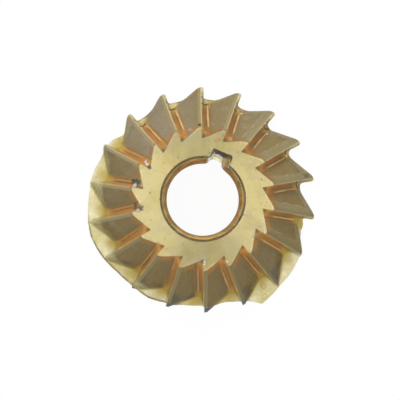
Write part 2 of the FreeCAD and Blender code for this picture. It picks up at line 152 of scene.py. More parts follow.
# Small trapped bubbles that show as raised rings, in millimetres along the picture's right and
# up directions, with the ring's radius, height and width.
BUBBLES = [(21.6, -30.6), (21.95, -34.2), (23.5, 23.7)]
BUBBLE_RADIUS = 0.75
BUBBLE_HEIGHT = 0.25
BUBBLE_WIDTH = 0.28

# The coat's skin: grid step in millimetres, room around the part in the grid, and number of
# triangles. A grid cell has eight corners.
SKIN_STEP = 0.34
ROOM_BESIDE = 4
ROOM_BELOW = 1.0
ROOM_ABOVE = 2
SKIN_TRIANGLES = 185000
CELL_CORNERS = [(i, j, k) for i in (0, 1) for j in (0, 1) for k in (0, 1)]

# How fine each pattern in the coat is: noise scale per metre.
BROAD_SCALE = 110.0
PATCH_SCALE = 150.0
MOTTLE_SCALE = 260.0
RIPPLE_SCALE = 420.0
WOBBLE_SCALE = 700.0
SPECK_SCALE = 900.0
GRAIN_SCALE = 1100.0

# Floor, in metres, and how much of its own light it shows.
FLOOR_REACH = 12.0
FLOOR_DROP = 0.00005
FLOOR_GLOW = 0.95

# Lamps: name, direction clockwise from the picture's up and elevation in degrees, distance
# and size in metres, and power in watts.
LAMPS = [
    ("top_lamp", 355, 35, 0.8, (0.5, 0.3), 2.6),
    ("left_lamp", 272, 66, 0.8, (1.2, 0.2), 2.8),
    ("right_lamp", 85, 66, 0.8, (1.2, 0.2), 2.2),
]


def picture_direction(degrees):
    """Unit vector in the floor plane, clockwise from the picture's up direction."""
    turn = math.radians(degrees - PICTURE_TURN)
    return Vector((math.sin(turn), math.cos(turn), 0))


def picture_point(right, up, height):
    """A point given in millimetres along the picture's right and up directions."""
    flat = picture_direction(90) * right + picture_direction(0) * up
    return (flat + Vector((0, 0, height))) * MM


class Shader:
    """A material's or world's node tree, with short calls to add and join nodes."""

    def __init__(self, owner):
        owner.use_nodes = True
        self.tree = owner.node_tree
        self.tree.nodes.clear()

    def node(self, kind, inputs=None, **settings):
        made = self.tree.nodes.new(kind)
        for name, value in settings.items():
            setattr(made, name, value)
        for name, value in (inputs or {}).items():
            self.feed(made.inputs[name], value)
        return made

    def feed(self, socket, value):
        if isinstance(value, bpy.types.NodeSocket):
            self.tree.links.new(value, socket)
        else:
            socket.default_value = value

    def math(self, operation, *values):
        made = self.node("ShaderNodeMath", operation=operation)
        for socket, value in zip(made.inputs, values):
            self.feed(socket, value)
        return made.outputs[0]

    def times(self, first, second):
        return self.math("MULTIPLY", first, second)

    def minus(self, first, second):
        return self.math("SUBTRACT", first, second)

    def ramp(self, value, low, high):
        """Smooth 0 to 1 as value runs from low to high."""
        made = self.node("ShaderNodeMapRange", interpolation_type="SMOOTHSTEP",
                         inputs={"Value": value, "From Min": low, "From Max": high})
        return made.outputs[0]

    def fall(self, value, low, high):
        """Smooth 1 to 0 as value runs from low to high."""
        return self.minus(1.0, self.ramp(value, low, high))

    def band(self, value, low, high, soft):
        """1 between low and high, with soft sides."""
        past_low = self.ramp(self.minus(value, low), -soft, soft)
        past_high = self.ramp(self.minus(value, high), -soft, soft)
        return self.minus(past_low, past_high)

    def between(self, kind, share, first, second):
        made = self.node("ShaderNodeMix", data_type=kind)
        self.feed(made.inputs["Factor"], share)
        self.feed(made.inputs["A"], first)
        self.feed(made.inputs["B"], second)
        return made.outputs["Result"]

    def mix(self, share, first, second):
        """A colour between two colours."""
        return self.between("RGBA", share, first, second)

    def blend(self, share, first, second):
        """A plain number between two numbers."""
        return self.between("FLOAT", share, first, second)

    def mixed_surface(self, share, first, second):
        """A surface between two surfaces."""
        made = self.node("ShaderNodeMixShader")
        self.feed(made.inputs[0], share)
        self.feed(made.inputs[1], first)
        self.feed(made.inputs[2], second)
        return made.outputs[0]

    def join(self, x, y, z):
        made = self.node("ShaderNodeCombineXYZ")
        for socket, value in zip(made.inputs, (x, y, z)):
            self.feed(socket, value)
        return made.outputs[0]

    def noise(self, vector, scale, detail=2.0, roughness=0.5):
        made = self.node("ShaderNodeTexNoise", inputs={
            "Vector": vector, "Scale": scale, "Detail": detail, "Roughness": roughness})
        return made.outputs["Fac"]


def colour(red, green, blue):
    return (red, green, blue, 1.0)


def new_shader(name):
    material = bpy.data.materials.new(name)
    return material, Shader(material)


def linked(obj):
    """The object, put into the scene."""
    bpy.context.scene.collection.objects.link(obj)
    return obj


def gully_radius(edge_radius):
    """Where a tooth back, which starts at the land of the next tooth, meets the rake face."""
    pitch = 2 * math.pi / TEETH
    plan_relief = math.atan(
        math.tan(math.radians(RELIEF_ANGLE)) / math.sin(math.radians(CONE_ANGLE)))
    land_x = edge_radius * math.sin(pitch) - LAND_WIDTH * math.cos(pitch - plan_relief)
    land_y = edge_radius * math.cos(pitch) + LAND_WIDTH * math.sin(pitch - plan_relief)
    return land_y - land_x * math.tan(math.radians(90 - GASH_ANGLE))


# Heights, radii and planes of the steel as it stands in the coat, from the sizes above.
HUB_Z = FILM_UNDER + BODY_WIDTH
HUB_TOP = HUB_Z + SOLID_FACE_FILM
CONE_RISE = math.tan(math.radians(CONE_ANGLE))
CONE_FOOT = TIP_RADIUS + CORNER_FLAT / CONE_RISE
CONE_TOP = CONE_FOOT - BODY_WIDTH / CONE_RISE
GULLY_TOP = gully_radius(CONE_TOP)
GULLY_FOOT = gully_radius(CONE_FOOT)
BACK_NORMAL = Vector((
    -math.tan(math.radians(90 - GASH_ANGLE)), 1, (GULLY_FOOT - GULLY_TOP) / BODY_WIDTH))
BACK_NORMAL.normalize()
BACK_OFFSET = BACK_NORMAL.y * GULLY_TOP + BACK_NORMAL.z * HUB_Z


class ToothPlace:
    """Where a shaded point lies, in millimetres, seen from the tooth behind it.

    across: ahead of that tooth's rake face; behind: from the next tooth's cutting edge back
    over its land; back_height: height of the steel tooth back at this spot of the plan.
    """

    def __init__(self, shader):
        self.shader = shader
        self.place = shader.node("ShaderNodeTexCoord").outputs["Object"]
        parts = shader.node("ShaderNodeSeparateXYZ", inputs={"Vector": self.place})
        x, y, z = [shader.times(parts.outputs[axis], 1 / MM) for axis in "XYZ"]
        self.x, self.y, self.height = x, y, z
        self.radius = self.length(x, y)
        pitch = 2 * math.pi / TEETH
        lead = math.radians(KEYWAY_LEAD)
        self.angle = shader.math("ARCTAN2", x, y)
        turns = shader.math("DIVIDE", shader.math("ADD", self.angle, lead), pitch)
        self.tooth = shader.math("FLOOR", turns)
        ahead = shader.times(shader.math("FRACT", turns), pitch)
        rest = shader.minus(pitch, ahead)
        self.across = shader.times(self.radius, shader.math("SINE", ahead))
        self.along = shader.times(self.radius, shader.math("COSINE", ahead))
        self.behind = shader.times(self.radius, shader.math("SINE", rest))
        plan = shader.math("ADD", shader.times(self.across, BACK_NORMAL.x),
                           shader.times(self.along, BACK_NORMAL.y))
        self.back_height = shader.math(
            "DIVIDE", shader.minus(BACK_OFFSET, plan), BACK_NORMAL.z)

    def length(self, x, y):
        square = self.shader.times(x, x)
        return self.shader.math("SQRT", self.shader.math("MULTIPLY_ADD", y, y, square))

    def chance(self, seed):
        """A number between 0 and 1 that differs from tooth to tooth."""
        count = self.shader.math("ADD", self.tooth, seed)
        return self.shader.node("ShaderNodeTexWhiteNoise", noise_dimensions="1D",
                                inputs={"W": count}).outputs["Value"]

    def toward(self, degrees):
        """1 on the side of the part that lies this way in the picture, 0 on the far side."""
        turn = self.shader.minus(self.angle, math.radians(degrees - PICTURE_TURN))
        return self.shader.math("MULTIPLY_ADD", self.shader.math("COSINE", turn), 0.5, 0.5)

    def side(self, degrees, low, high):
        """Smooth 0 to 1 toward one side of the part."""
        return self.shader.ramp(self.toward(degrees), low, high)

    def streaks(self):
        """Long fine streaks that run with the gully and differ from tooth to tooth."""
        shift = self.shader.times(self.tooth, 3.7)
        way = self.shader.join(self.across, self.shader.times(self.along, 0.10), shift)
        return self.shader.noise(way, 1.5, 3.0, 0.6)

    def away(self, right, up):
        """Distance in plan from a spot given along the picture's right and up directions."""
        spot = picture_point(right, up, 0) / MM
        return self.length(self.shader.minus(self.x, spot.x), self.shader.minus(self.y, spot.y))


def steel_material():
    """Ground flats and lands, milled gashes, and fine tool marks."""
    material, shader = new_shader("tool_steel")
    tooth = ToothPlace(shader)
    normal = shader.node("ShaderNodeNewGeometry").outputs["True Normal"]
    facing = shader.node("ShaderNodeSeparateXYZ", inputs={"Vector": normal}).outputs["Z"]
    flat = shader.ramp(shader.math("ABSOLUTE", facing), 0.9, 0.97)
    land = shader.band(facing, 0.58, 0.70, 0.01)
    shade = steel_colour(shader, tooth, flat, land)

    rings = shader.node("ShaderNodeTexNoise", noise_dimensions="1D", inputs={
        "W": shader.times(tooth.radius, 9.0), "Scale": 1.0, "Detail": 2.0})
    bump = shader.node("ShaderNodeBump", inputs={
        "Height": shader.times(rings.outputs["Fac"], flat), "Strength": 0.12, "Distance": 0.00005})
    gash_rough, flat_rough, land_rough = 0.45, 0.345, 0.30
    rough = shader.blend(flat, gash_rough, flat_rough)
    rough = shader.blend(land, rough, land_rough)
    tangent = shader.node("ShaderNodeTangent", direction_type="RADIAL", axis="Z")
    surface = shader.node("ShaderNodeBsdfPrincipled", inputs={
        "Base Color": shade, "Metallic": 1.0, "Roughness": rough,
        "Anisotropic": 0.74, "Anisotropic Rotation": 0.25,
        "Tangent": tangent.outputs[0], "Normal": bump.outputs[0]})
    shader.node("ShaderNodeOutputMaterial", inputs={"Surface": surface.outputs[0]})
    return material


def steel_colour(shader, tooth, flat, land):
    """Cloudy grey steel, warmer in the gashes and dark at the bare tooth corners."""
    gash_colour = colour(0.50, 0.42, 0.31)
    land_colour = colour(0.42, 0.42, 0.40)
    flat_colour = colour(0.69, 0.67, 0.76)
    dull_colour = colour(0.30, 0.29, 0.25)
    grain_colour = colour(0.10, 0.10, 0.09)
    bare_colour = colour(0.13, 0.135, 0.13)
    cloud = shader.noise(tooth.place, 140.0, 3.0, 0.6)
    grain = shader.noise(tooth.place, 2600.0, 2.0, 0.6)
    bare = shader.ramp(tooth.radius, TIP_RADIUS - 2.8, TIP_RADIUS - 1.6)
    shade = shader.mix(land, gash_colour, land_colour)
    shade = shader.mix(flat, shade, flat_colour)
    dull = shader.mix(0.25, shade, dull_colour)
    shade = shader.mix(shader.ramp(cloud, 0.45, 0.75), shade, dull)
    shade = shader.mix(shader.times(grain, 0.15), shade, grain_colour)
    return shader.mix(bare, shade, bare_colour)


# Spots on the coat: place along the picture's right and up directions, radius and softness in
# millimetres, colour, and how much of the coat the spot covers. Some are stains, specks and air
# pockets, and some are painted highlights and painted shade.
SPOTS = [
    (-22.5, 5.6, 1.0, 0.35, (0.075, 0.08, 0.055), 0.95),
    (-20.9, 4.9, 1.1, 0.35, (0.09, 0.095, 0.065), 0.95),
    (-21.7, 5.3, 1.0, 0.4, (0.08, 0.085, 0.06), 0.95),
    # Two painted highlights on the air pocket.
    (-22.1, 4.5, 0.55, 0.4, (0.50, 0.47, 0.42), 0.8),
    (-19.9, 4.3, 0.40, 0.35, (0.42, 0.40, 0.33), 0.8),
    (-21.8, -2.4, 0.95, 0.35, (0.085, 0.09, 0.06), 0.95),
    (-20.4, -2.7, 0.8, 0.35, (0.12, 0.12, 0.08), 0.9),
    # Painted highlight on the air pocket.
    (-20.9, -3.7, 0.40, 0.3, (0.45, 0.42, 0.34), 0.7),
    # Two painted highlights.
    (-18.6, 12.1, 0.50, 0.4, (0.58, 0.55, 0.52), 0.8),
    (-18.0, 11.2, 0.45, 0.4, (0.62, 0.60, 0.58), 0.8),
    (-17.2, 10.3, 0.55, 0.4, (0.10, 0.09, 0.07), 0.9),
    (4.6, 19.3, 0.75, 0.45, (0.62, 0.30, 0.10), 0.6),
    (-1.1, 24.1, 0.42, 0.15, (0.02, 0.018, 0.015), 0.95),
    (-17.2, 1.9, 0.30, 0.2, (0.50, 0.20, 0.07), 0.7),
    (16.2, 6.1, 0.26, 0.2, (0.45, 0.24, 0.12), 0.6),
    (19.1, 6.4, 0.30, 0.2, (0.48, 0.25, 0.12), 0.6),
    (-14.6, -14.1, 0.24, 0.18, (0.40, 0.30, 0.18), 0.5),
    # Painted highlights and painted shade at the keyway's corner, three spots.
    (2.7, 16.4, 0.38, 0.3, (0.56, 0.50, 0.30), 0.6),
    (3.6, 16.0, 0.22, 0.2, (0.72, 0.70, 0.60), 0.7),
    (2.2, 14.9, 0.40, 0.35, (0.12, 0.11, 0.07), 0.8),
    # Painted highlights at the hub ends of the gullies at the top, three spots.
    (9.0, 19.5, 0.50, 0.5, (0.46, 0.29, 0.15), 0.5),
    (0.8, 21.4, 0.40, 0.4, (0.50, 0.34, 0.16), 0.5),
    (-4.1, 22.6, 0.55, 0.5, (0.44, 0.31, 0.19), 0.5),
    # Painted highlights on the hub's cutting edges, three spots.
    (0.4, -20.3, 0.26, 0.2, (0.80, 0.78, 0.72), 0.8),
    (0.5, -21.2, 0.30, 0.22, (0.80, 0.78, 0.72), 0.8),
    (7.8, -20.2, 0.26, 0.2, (0.72, 0.70, 0.62), 0.7),
    # Painted highlights and painted shade on the curled webs, seven spots.
    (29.6, 15.4, 0.45, 0.35, (0.78, 0.64, 0.28), 0.8),
    (28.9, 14.5, 0.40, 0.3, (0.13, 0.11, 0.06), 0.8),
    (22.6, 22.8, 0.32, 0.3, (0.78, 0.66, 0.33), 0.75),
    (24.6, 24.6, 0.28, 0.25, (0.75, 0.64, 0.33), 0.7),
    (23.0, 24.9, 0.32, 0.3, (0.16, 0.12, 0.05), 0.7),
    (12.6, 31.0, 0.50, 0.4, (0.62, 0.47, 0.16), 0.6),
    (13.6, 30.2, 0.28, 0.25, (0.80, 0.70, 0.40), 0.7),
    (36.3, 8.4, 0.85, 0.5, (0.13, 0.125, 0.085), 0.75),
    (35.2, 8.9, 0.5, 0.4, (0.16, 0.15, 0.10), 0.6),
]


class CloudAndPaintedLight:
    """The cloud in the plastic, with painted highlights and painted shade laid into it: its colour,
    and the share of the coat's surface that it covers.

    It starts with the tooth backs, and each layer is laid over those before it. Lengths are in
    millimetres, and sides in degrees clockwise from the picture's up direction.
    """

    def __init__(self, shader, tooth):
        self.shader = shader
        self.tooth = tooth
        self.over_hub = shader.ramp(tooth.back_height, HUB_Z - 0.3, HUB_Z + 0.2)
        self.past_foot = shader.fall(tooth.back_height, -0.2, 0.6)
        self.top_side = tooth.toward(0)
        self.open_side = tooth.side(25, 0.64, 0.70)
        self.streaks = tooth.streaks()
        self.mottle = shader.noise(tooth.place, MOTTLE_SCALE, 3.0, 0.6)
        self.patch = shader.noise(tooth.place, PATCH_SCALE, 2.0)
        self.grain = shader.noise(tooth.place, GRAIN_SCALE, 2.0, 0.65)
        self.wobble = shader.minus(shader.noise(tooth.place, WOBBLE_SCALE, 2.0), 0.5)
        normal = shader.node("ShaderNodeNewGeometry").outputs["Normal"]
        facing = shader.node("ShaderNodeSeparateXYZ", inputs={"Vector": normal}).outputs["Z"]
        self.steep = shader.fall(shader.math("ABSOLUTE", facing), 0.2, 0.45)
        self.tint = self.speckled(self.outer_back(self.tooth_back()))
        self.share = 0.70

    def lay(self, where, tint, share=None):
        """Lay a colour over the cloud where a mask is 1, and a share too where one is given."""
        self.tint = self.shader.mix(where, self.tint, tint)
        if share is not None:
            self.share = self.shader.blend(where, self.share, share)

    def tooth_back(self):
        """Brown tooth backs, painted paler toward the top of the picture where the light falls, with
        painted sheen in patches there and on the upper left teeth, browner on the right, and darker
        in patches near the corners, least at the top.
        """
        shader, tooth, patch = self.shader, self.tooth, self.patch
        back = shader.mix(self.streaks, colour(0.205, 0.145, 0.048), colour(0.285, 0.205, 0.074))
        painted_sheen = shader.times(shader.ramp(patch, 0.5, 0.75), self.top_side)
        near_tip = shader.ramp(tooth.radius, 32.0, 35.5)
        dark_patches = shader.times(near_tip, shader.ramp(patch, 0.44, 0.56))
        dark_patches = shader.times(dark_patches, shader.blend(self.top_side, 0.95, 0.2))
        # Painted light: sheen in patches at the top, backs paler toward the top of the picture, and
        # sheen on the upper left teeth.
        for where, tone in (
                (painted_sheen, colour(0.37, 0.30, 0.175)),
                (shader.times(self.top_side, 0.45), colour(0.315, 0.255, 0.135)),
                (shader.times(tooth.side(328, 0.93, 0.99), 0.5), colour(0.38, 0.32, 0.235)),
                (shader.times(tooth.side(85, 0.84, 0.96), 0.45), colour(0.25, 0.165, 0.03)),
                (dark_patches, colour(0.115, 0.105, 0.07))):
            back = shader.mix(where, back, tone)
        return back

    def outer_back(self, back):
        """Greener and creased where the coat is thick at the foot and land, with a gold fringe."""
        shader, tooth = self.shader, self.tooth
        from_foot = shader.times(shader.minus(tooth.back_height, FILM_UNDER), 0.84)
        from_land = shader.minus(tooth.behind, LAND_WIDTH)
        wander = shader.math("MULTIPLY_ADD", self.patch, 2.4, -1.2)
        right = tooth.side(66, 0.78, 0.88)
        left = tooth.side(283, 0.84, 0.94)
        both = shader.math("ADD", shader.math("MINIMUM", from_foot, from_land), wander)
        foot = shader.math("ADD", from_foot, wander)
        for inset, side, tone in ((both, right, colour(0.33, 0.285, 0.155)),
                                  (foot, left, colour(0.36, 0.31, 0.145))):
            outer = shader.times(shader.fall(inset, 1.2, 2.2), shader.times(side, 0.6))
            back = shader.mix(outer, back, tone)
            crease = shader.times(shader.band(inset, 1.55, 1.85, 0.15), side)
            crease = shader.times(crease, shader.ramp(self.streaks, 0.35, 0.75))
            back = shader.mix(crease, back, colour(0.45, 0.39, 0.22))
        fringe = shader.times(shader.fall(foot, 0.0, 1.3), shader.minus(0.8, right))
        return shader.mix(shader.math("MAXIMUM", fringe, 0.0), back, colour(0.40, 0.325, 0.125))

    def speckled(self, back):
        """The same colour with fine pale and dark grains."""
        shader = self.shader
        pale = shader.mix(0.13, back, colour(0.48, 0.40, 0.26))
        dark = shader.mix(0.13, back, colour(0.09, 0.07, 0.04))
        back = shader.mix(shader.ramp(self.grain, 0.42, 0.72), back, pale)
        return shader.mix(shader.ramp(self.grain, 0.52, 0.26), back, dark)

    def lands(self):
        """Olive lands, painted paler toward the top of the picture where the light falls, with a
        painted highlight line along the cutting edge.
        """
        shader, tooth = self.shader, self.tooth
        on_land = shader.fall(tooth.behind, 1.05, 1.4)
        on_edge_highlight = shader.fall(tooth.behind, 0.15, 0.4)
        # Painted light: the lands and their edge line paler toward the top of the picture.
        land = shader.mix(self.top_side, colour(0.195, 0.165, 0.085), colour(0.31, 0.255, 0.13))
        edge = shader.mix(self.top_side, colour(0.27, 0.22, 0.105), colour(0.46, 0.40, 0.25))
        for where, tone in ((tooth.side(205, 0.76, 0.92), colour(0.275, 0.236, 0.12)),
                            (tooth.side(288, 0.84, 0.95), colour(0.34, 0.275, 0.15)),
                            (on_edge_highlight, edge)):
            land = shader.mix(where, land, tone)
        self.lay(on_land, land, shader.blend(on_edge_highlight, 0.84, 0.98))

    def drowned_corners(self):
        """Pale blotches where the coat drowns the tooth corners on the left."""
        shader, tooth = self.shader, self.tooth
        reach = shader.math("ADD", shader.times(tooth.side(279, 0.96, 0.99), 1.2), tooth.radius)
        reach = shader.math("MULTIPLY_ADD", self.patch, 2.4, reach)
        drowned = shader.times(shader.ramp(reach, 36.5, 38.5), tooth.side(250, 0.84, 0.92))
        blotch = shader.ramp(shader.noise(tooth.place, GRAIN_SCALE, 2.0), 0.40, 0.62)
        self.lay(drowned, shader.mix(blotch, colour(0.40, 0.34, 0.155), colour(0.54, 0.48, 0.24)))

    def gullies(self):
        """Amber plastic pooled in the gully and at its end by the hub, painted darker on the upper
        right side, with painted shade in the inner corners by the hub.
        """
        shader, tooth = self.shader, self.tooth
        amber = shader.mix(self.streaks, colour(0.37, 0.155, 0.036), colour(0.60, 0.29, 0.078))
        amber = shader.mix(shader.ramp(self.mottle, 0.44, 0.64), amber, colour(0.38, 0.22, 0.075))
        # Painted shade: the amber darker on the upper right side.
        amber_painted_shade = shader.times(tooth.side(48, 0.72, 0.90), 0.45)
        amber = shader.mix(amber_painted_shade, amber, colour(0.22, 0.115, 0.035))
        hub_end = shader.times(shader.ramp(tooth.back_height, 17.0, 18.9),
                               shader.ramp(tooth.behind, 0.9, 2.0))
        self.lay(shader.times(hub_end, shader.blend(self.top_side, 0.95, 0.75)), amber)

        gully = shader.fall(shader.math("MULTIPLY_ADD", self.streaks, 0.8, tooth.across), 3.2, 3.9)
        lip = shader.fall(tooth.across, 0.3, 0.7)
        self.lay(gully, self.gully_lines(amber), shader.blend(lip, 0.85, 0.98))
        # Painted shade in the inner corner of each gully by the hub.
        corner = shader.times(shader.fall(tooth.across, 0.5, 1.5),
                              shader.ramp(tooth.back_height, 18.0, 19.6))
        self.lay(shader.times(corner, 0.8), colour(0.09, 0.08, 0.055))
        bar = shader.times(shader.band(tooth.back_height, 0.6, 1.7, 0.4),
                           shader.fall(tooth.across, 1.8, 3.4))
        self.lay(shader.times(bar, self.open_side), colour(0.13, 0.085, 0.045))

    def gully_lines(self, amber):
        """Painted lines of light and dark along the rake face, where the coat pooled and its curved
        surface would reflect and bend the light: a dark line, a painted highlight, a dark far edge,
        and gold at the low end.
        """
        shader, tooth, top_side = self.shader, self.tooth, self.top_side
        shift = shader.math("MULTIPLY_ADD", shader.minus(self.streaks, 0.5), 0.8, tooth.across)
        shift = shader.math("MULTIPLY_ADD", shader.minus(tooth.chance(11.0), 0.5), 0.6, shift)
        # Painted light: a dark line, a highlight line and a dark far edge, as the pooled coat's
        # curve would show them.
        painted_dark_line = shader.band(shift, 1.48, 1.80, 0.13)
        highlight_line = shader.band(shift, 2.10, shader.blend(top_side, 2.34, 2.52), 0.12)
        painted_dark_edge = shader.band(shift, shader.blend(top_side, 2.45, 2.85), 3.3, 0.16)
        painted_glint = shader.mix(top_side, colour(0.64, 0.48, 0.20), colour(0.74, 0.58, 0.27))
        painted_glint = shader.mix(tooth.side(270, 0.75, 0.95), painted_glint, colour(0.50, 0.26, 0.08))
        begin = shader.math("MULTIPLY_ADD", tooth.chance(5.0), 2.4, 0.6)
        start = shader.ramp(shader.minus(tooth.back_height, begin), 0.0, 0.8)
        reach = shader.times(start, shader.fall(tooth.back_height, 14.2, 16.6))
        drift = shader.join(0.0, shader.times(tooth.along, 0.25), shader.times(tooth.tooth, 5.3))
        drift = shader.ramp(shader.noise(drift, 1.0, 2.0), 0.38, 0.62)
        dark = shader.times(reach, shader.blend(drift, 0.95, 0.5))
        highlight_strength = shader.times(reach, shader.blend(drift, 0.45, 1.0))
        low_end = shader.fall(tooth.back_height, 0.2, 5.6)
        strip = amber
        for where, tone in ((shader.times(painted_dark_line, dark), colour(0.13, 0.088, 0.042)),
                            (shader.times(highlight_line, highlight_strength), painted_glint),
                            (shader.times(painted_dark_edge, 0.7), colour(0.18, 0.13, 0.055)),
                            (shader.times(low_end, 0.8), colour(0.56, 0.375, 0.10))):
            strip = shader.mix(where, strip, tone)
        return strip

    def skirt(self):
        """The film past the tooth backs: a lemon skirt with pale patches, partly painted reflection,
        white flecks of painted glint, golden beside the gullies, and webs.
        """
        shader, tooth = self.shader, self.tooth
        far = shader.ramp(tooth.back_height, -8.0, -0.6)
        narrow = shader.ramp(tooth.back_height, -1.5, 0.2)
        by_gully = shader.fall(tooth.across, 3.6, 7.4)
        golden = shader.math("MAXIMUM", shader.times(far, by_gully), shader.times(narrow, 0.6))
        # Pale patches over the lemon tone, partly painted reflection.
        broad_tone_and_reflection = shader.noise(tooth.place, BROAD_SCALE, 2.0, 0.45)
        lemon = shader.mix(shader.ramp(broad_tone_and_reflection, 0.40, 0.62), colour(0.61, 0.56, 0.28),
                           colour(0.90, 0.87, 0.69))
        # The grain's white flecks are painted glints.
        for where, tone in (
                (shader.times(shader.ramp(self.mottle, 0.48, 0.66), 0.5), colour(0.56, 0.50, 0.24)),
                (shader.times(shader.ramp(self.grain, 0.58, 0.72), 0.65), colour(0.98, 0.97, 0.90)),
                (golden, colour(0.52, 0.385, 0.085))):
            lemon = shader.mix(where, lemon, tone)
        web = shader.mix(shader.ramp(self.mottle, 0.38, 0.62), colour(0.46, 0.37, 0.15),
                         colour(0.70, 0.60, 0.30))
        web = shader.mix(shader.ramp(tooth.across, 3.1, 4.6), web, colour(0.22, 0.165, 0.095))
        thin = shader.blend(self.open_side, shader.blend(golden, 0.46, 0.68), 0.72)
        self.lay(self.past_foot, shader.mix(self.open_side, lemon, web), thin)

    def rim(self):
        """A brown bead along the film's free edge, and a dark line along the edge of the webs."""
        shader, tooth = self.shader, self.tooth
        from_rim = shader.node("ShaderNodeAttribute", attribute_name="from_rim").outputs["Fac"]
        bead = shader.times(shader.fall(from_rim, 0.35, 0.9), tooth.side(226, 0.86, 0.97))
        bead = shader.times(bead, shader.ramp(self.mottle, 0.36, 0.50))
        dark_edge_line = shader.times(shader.band(from_rim, -0.5, 0.3, 0.12), self.open_side)
        dark_edge_line = shader.times(dark_edge_line, shader.minus(1.0, self.steep))
        both = shader.math("MAXIMUM", bead, shader.times(dark_edge_line, self.past_foot))
        self.lay(both, colour(0.25, 0.165, 0.09), 0.75)

    def bubbles(self):
        """A brown ring around each trapped bubble."""
        for right, up in BUBBLES:
            ring = self.shader.band(self.tooth.away(right, up), BUBBLE_RADIUS - 0.05,
                                    BUBBLE_RADIUS + 0.25, 0.12)
            self.lay(self.shader.times(ring, 0.75), colour(0.36, 0.28, 0.12))

    def steep_sides(self):
        """The coat is browner on its steep sides."""
        brown = self.shader.mix(0.6, self.tint, colour(0.27, 0.21, 0.10))
        self.lay(self.steep, brown, 0.96)

    def hub_face(self):
        """A nearly clear film over the hub, with small brown specks."""
        shader = self.shader
        haze = shader.blend(shader.ramp(self.mottle, 0.45, 0.65), 0.05, 0.17)
        self.lay(self.over_hub, colour(0.62, 0.57, 0.40), haze)
        specks = shader.ramp(shader.noise(self.tooth.place, SPECK_SCALE, 1.0), 0.70, 0.76)
        self.lay(shader.times(specks, self.over_hub), colour(0.30, 0.24, 0.14), 0.55)

    def spots(self):
        """Small blots with wavy edges: stains, specks and air pockets, and painted highlights and
        painted shade.
        """
        for right, up, size, soft, shade, cover in SPOTS:
            away = self.shader.math("MULTIPLY_ADD", self.wobble, 3.4 * size,
                                    self.tooth.away(right, up))
            inside = self.shader.fall(away, size - soft, size + soft)
            self.lay(inside, colour(*shade))
            self.share = self.shader.blend(self.shader.times(inside, cover), self.share, 1.0)

    def bore_lining(self):
        """Honey-coloured drips down the lining of the bore."""
        shader, tooth = self.shader, self.tooth
        lining = shader.fall(tooth.radius, 13.0, 13.3)
        way = shader.join(shader.times(tooth.angle, 4.0), shader.times(tooth.height, 0.10), 0.0)
        drips = shader.noise(way, 0.9, 2.0)
        honey = shader.mix(shader.ramp(drips, 0.35, 0.7), colour(0.40, 0.22, 0.03),
                           colour(0.64, 0.43, 0.12))
        self.lay(lining, honey, 0.94)

    def keyway(self):
        """A pool of plastic along one side of the keyway, and painted shade on the wall at its end,
        darkest near the top.
        """
        shader, tooth = self.shader, self.tooth
        in_keyway = shader.times(
            shader.ramp(tooth.y, 12.4, 13.2),
            shader.fall(shader.math("ABSOLUTE", tooth.x), KEYWAY_HALF - 0.4, KEYWAY_HALF - 0.1))
        in_keyway = shader.times(
            in_keyway, shader.fall(tooth.y, KEYWAY_FLOOR - 0.2, KEYWAY_FLOOR + 0.1))
        pool = shader.times(in_keyway, shader.ramp(tooth.x, 0.7, 1.1))
        pool = shader.times(pool, shader.ramp(tooth.height, 1.0, 2.0))
        olive = shader.mix(shader.ramp(tooth.x, 1.3, 2.8), colour(0.98, 0.90, 0.55),
                           colour(0.60, 0.39, 0.10))
        olive = shader.mix(shader.ramp(tooth.y, 14.8, 15.8), olive, colour(0.20, 0.13, 0.05))
        self.lay(pool, olive, 0.9)
        # Painted shade on the keyway's end wall, darker toward the top.
        end_wall_shade = shader.times(in_keyway, shader.ramp(tooth.y, 15.2, 15.6))
        end_wall_shade = shader.times(end_wall_shade, shader.fall(tooth.x, 0.7, 1.6))
        near_top = shader.ramp(tooth.height, 11.0, 16.0)
        self.lay(end_wall_shade, colour(0.11, 0.09, 0.06), shader.times(near_top, 0.93))

    def keyway_brow(self):
        """A painted dark line of shade on the hub along the keyway's edges."""
        shader, tooth = self.shader, self.tooth
        past_wall = shader.math("SMOOTH_MAX", shader.minus(tooth.x, KEYWAY_HALF),
                                shader.minus(tooth.y, KEYWAY_FLOOR), 1.6)
        past_wall = shader.math("MULTIPLY_ADD", self.wobble, 0.8, past_wall)
        reach = shader.times(shader.ramp(tooth.x, -3.7, -2.9), shader.ramp(tooth.y, 13.4, 14.6))
        brow_shade = shader.times(shader.band(past_wall, -0.3, 0.22, 0.14), reach)
        self.lay(shader.times(brow_shade, self.over_hub), colour(0.075, 0.065, 0.04), 0.9)


def coat_cloud_and_painted_light(shader, tooth):
    """How cloudy the plastic is at each place, and the colour of the cloud, with painted highlights
    and painted shade laid into it.
    """
    cloud = CloudAndPaintedLight(shader, tooth)
    for layer in (cloud.lands, cloud.drowned_corners, cloud.gullies, cloud.skirt, cloud.rim,
                  cloud.bubbles, cloud.steep_sides, cloud.hub_face, cloud.spots,
                  cloud.bore_lining, cloud.keyway, cloud.keyway_brow):
        layer()
    return cloud.share, cloud.tint


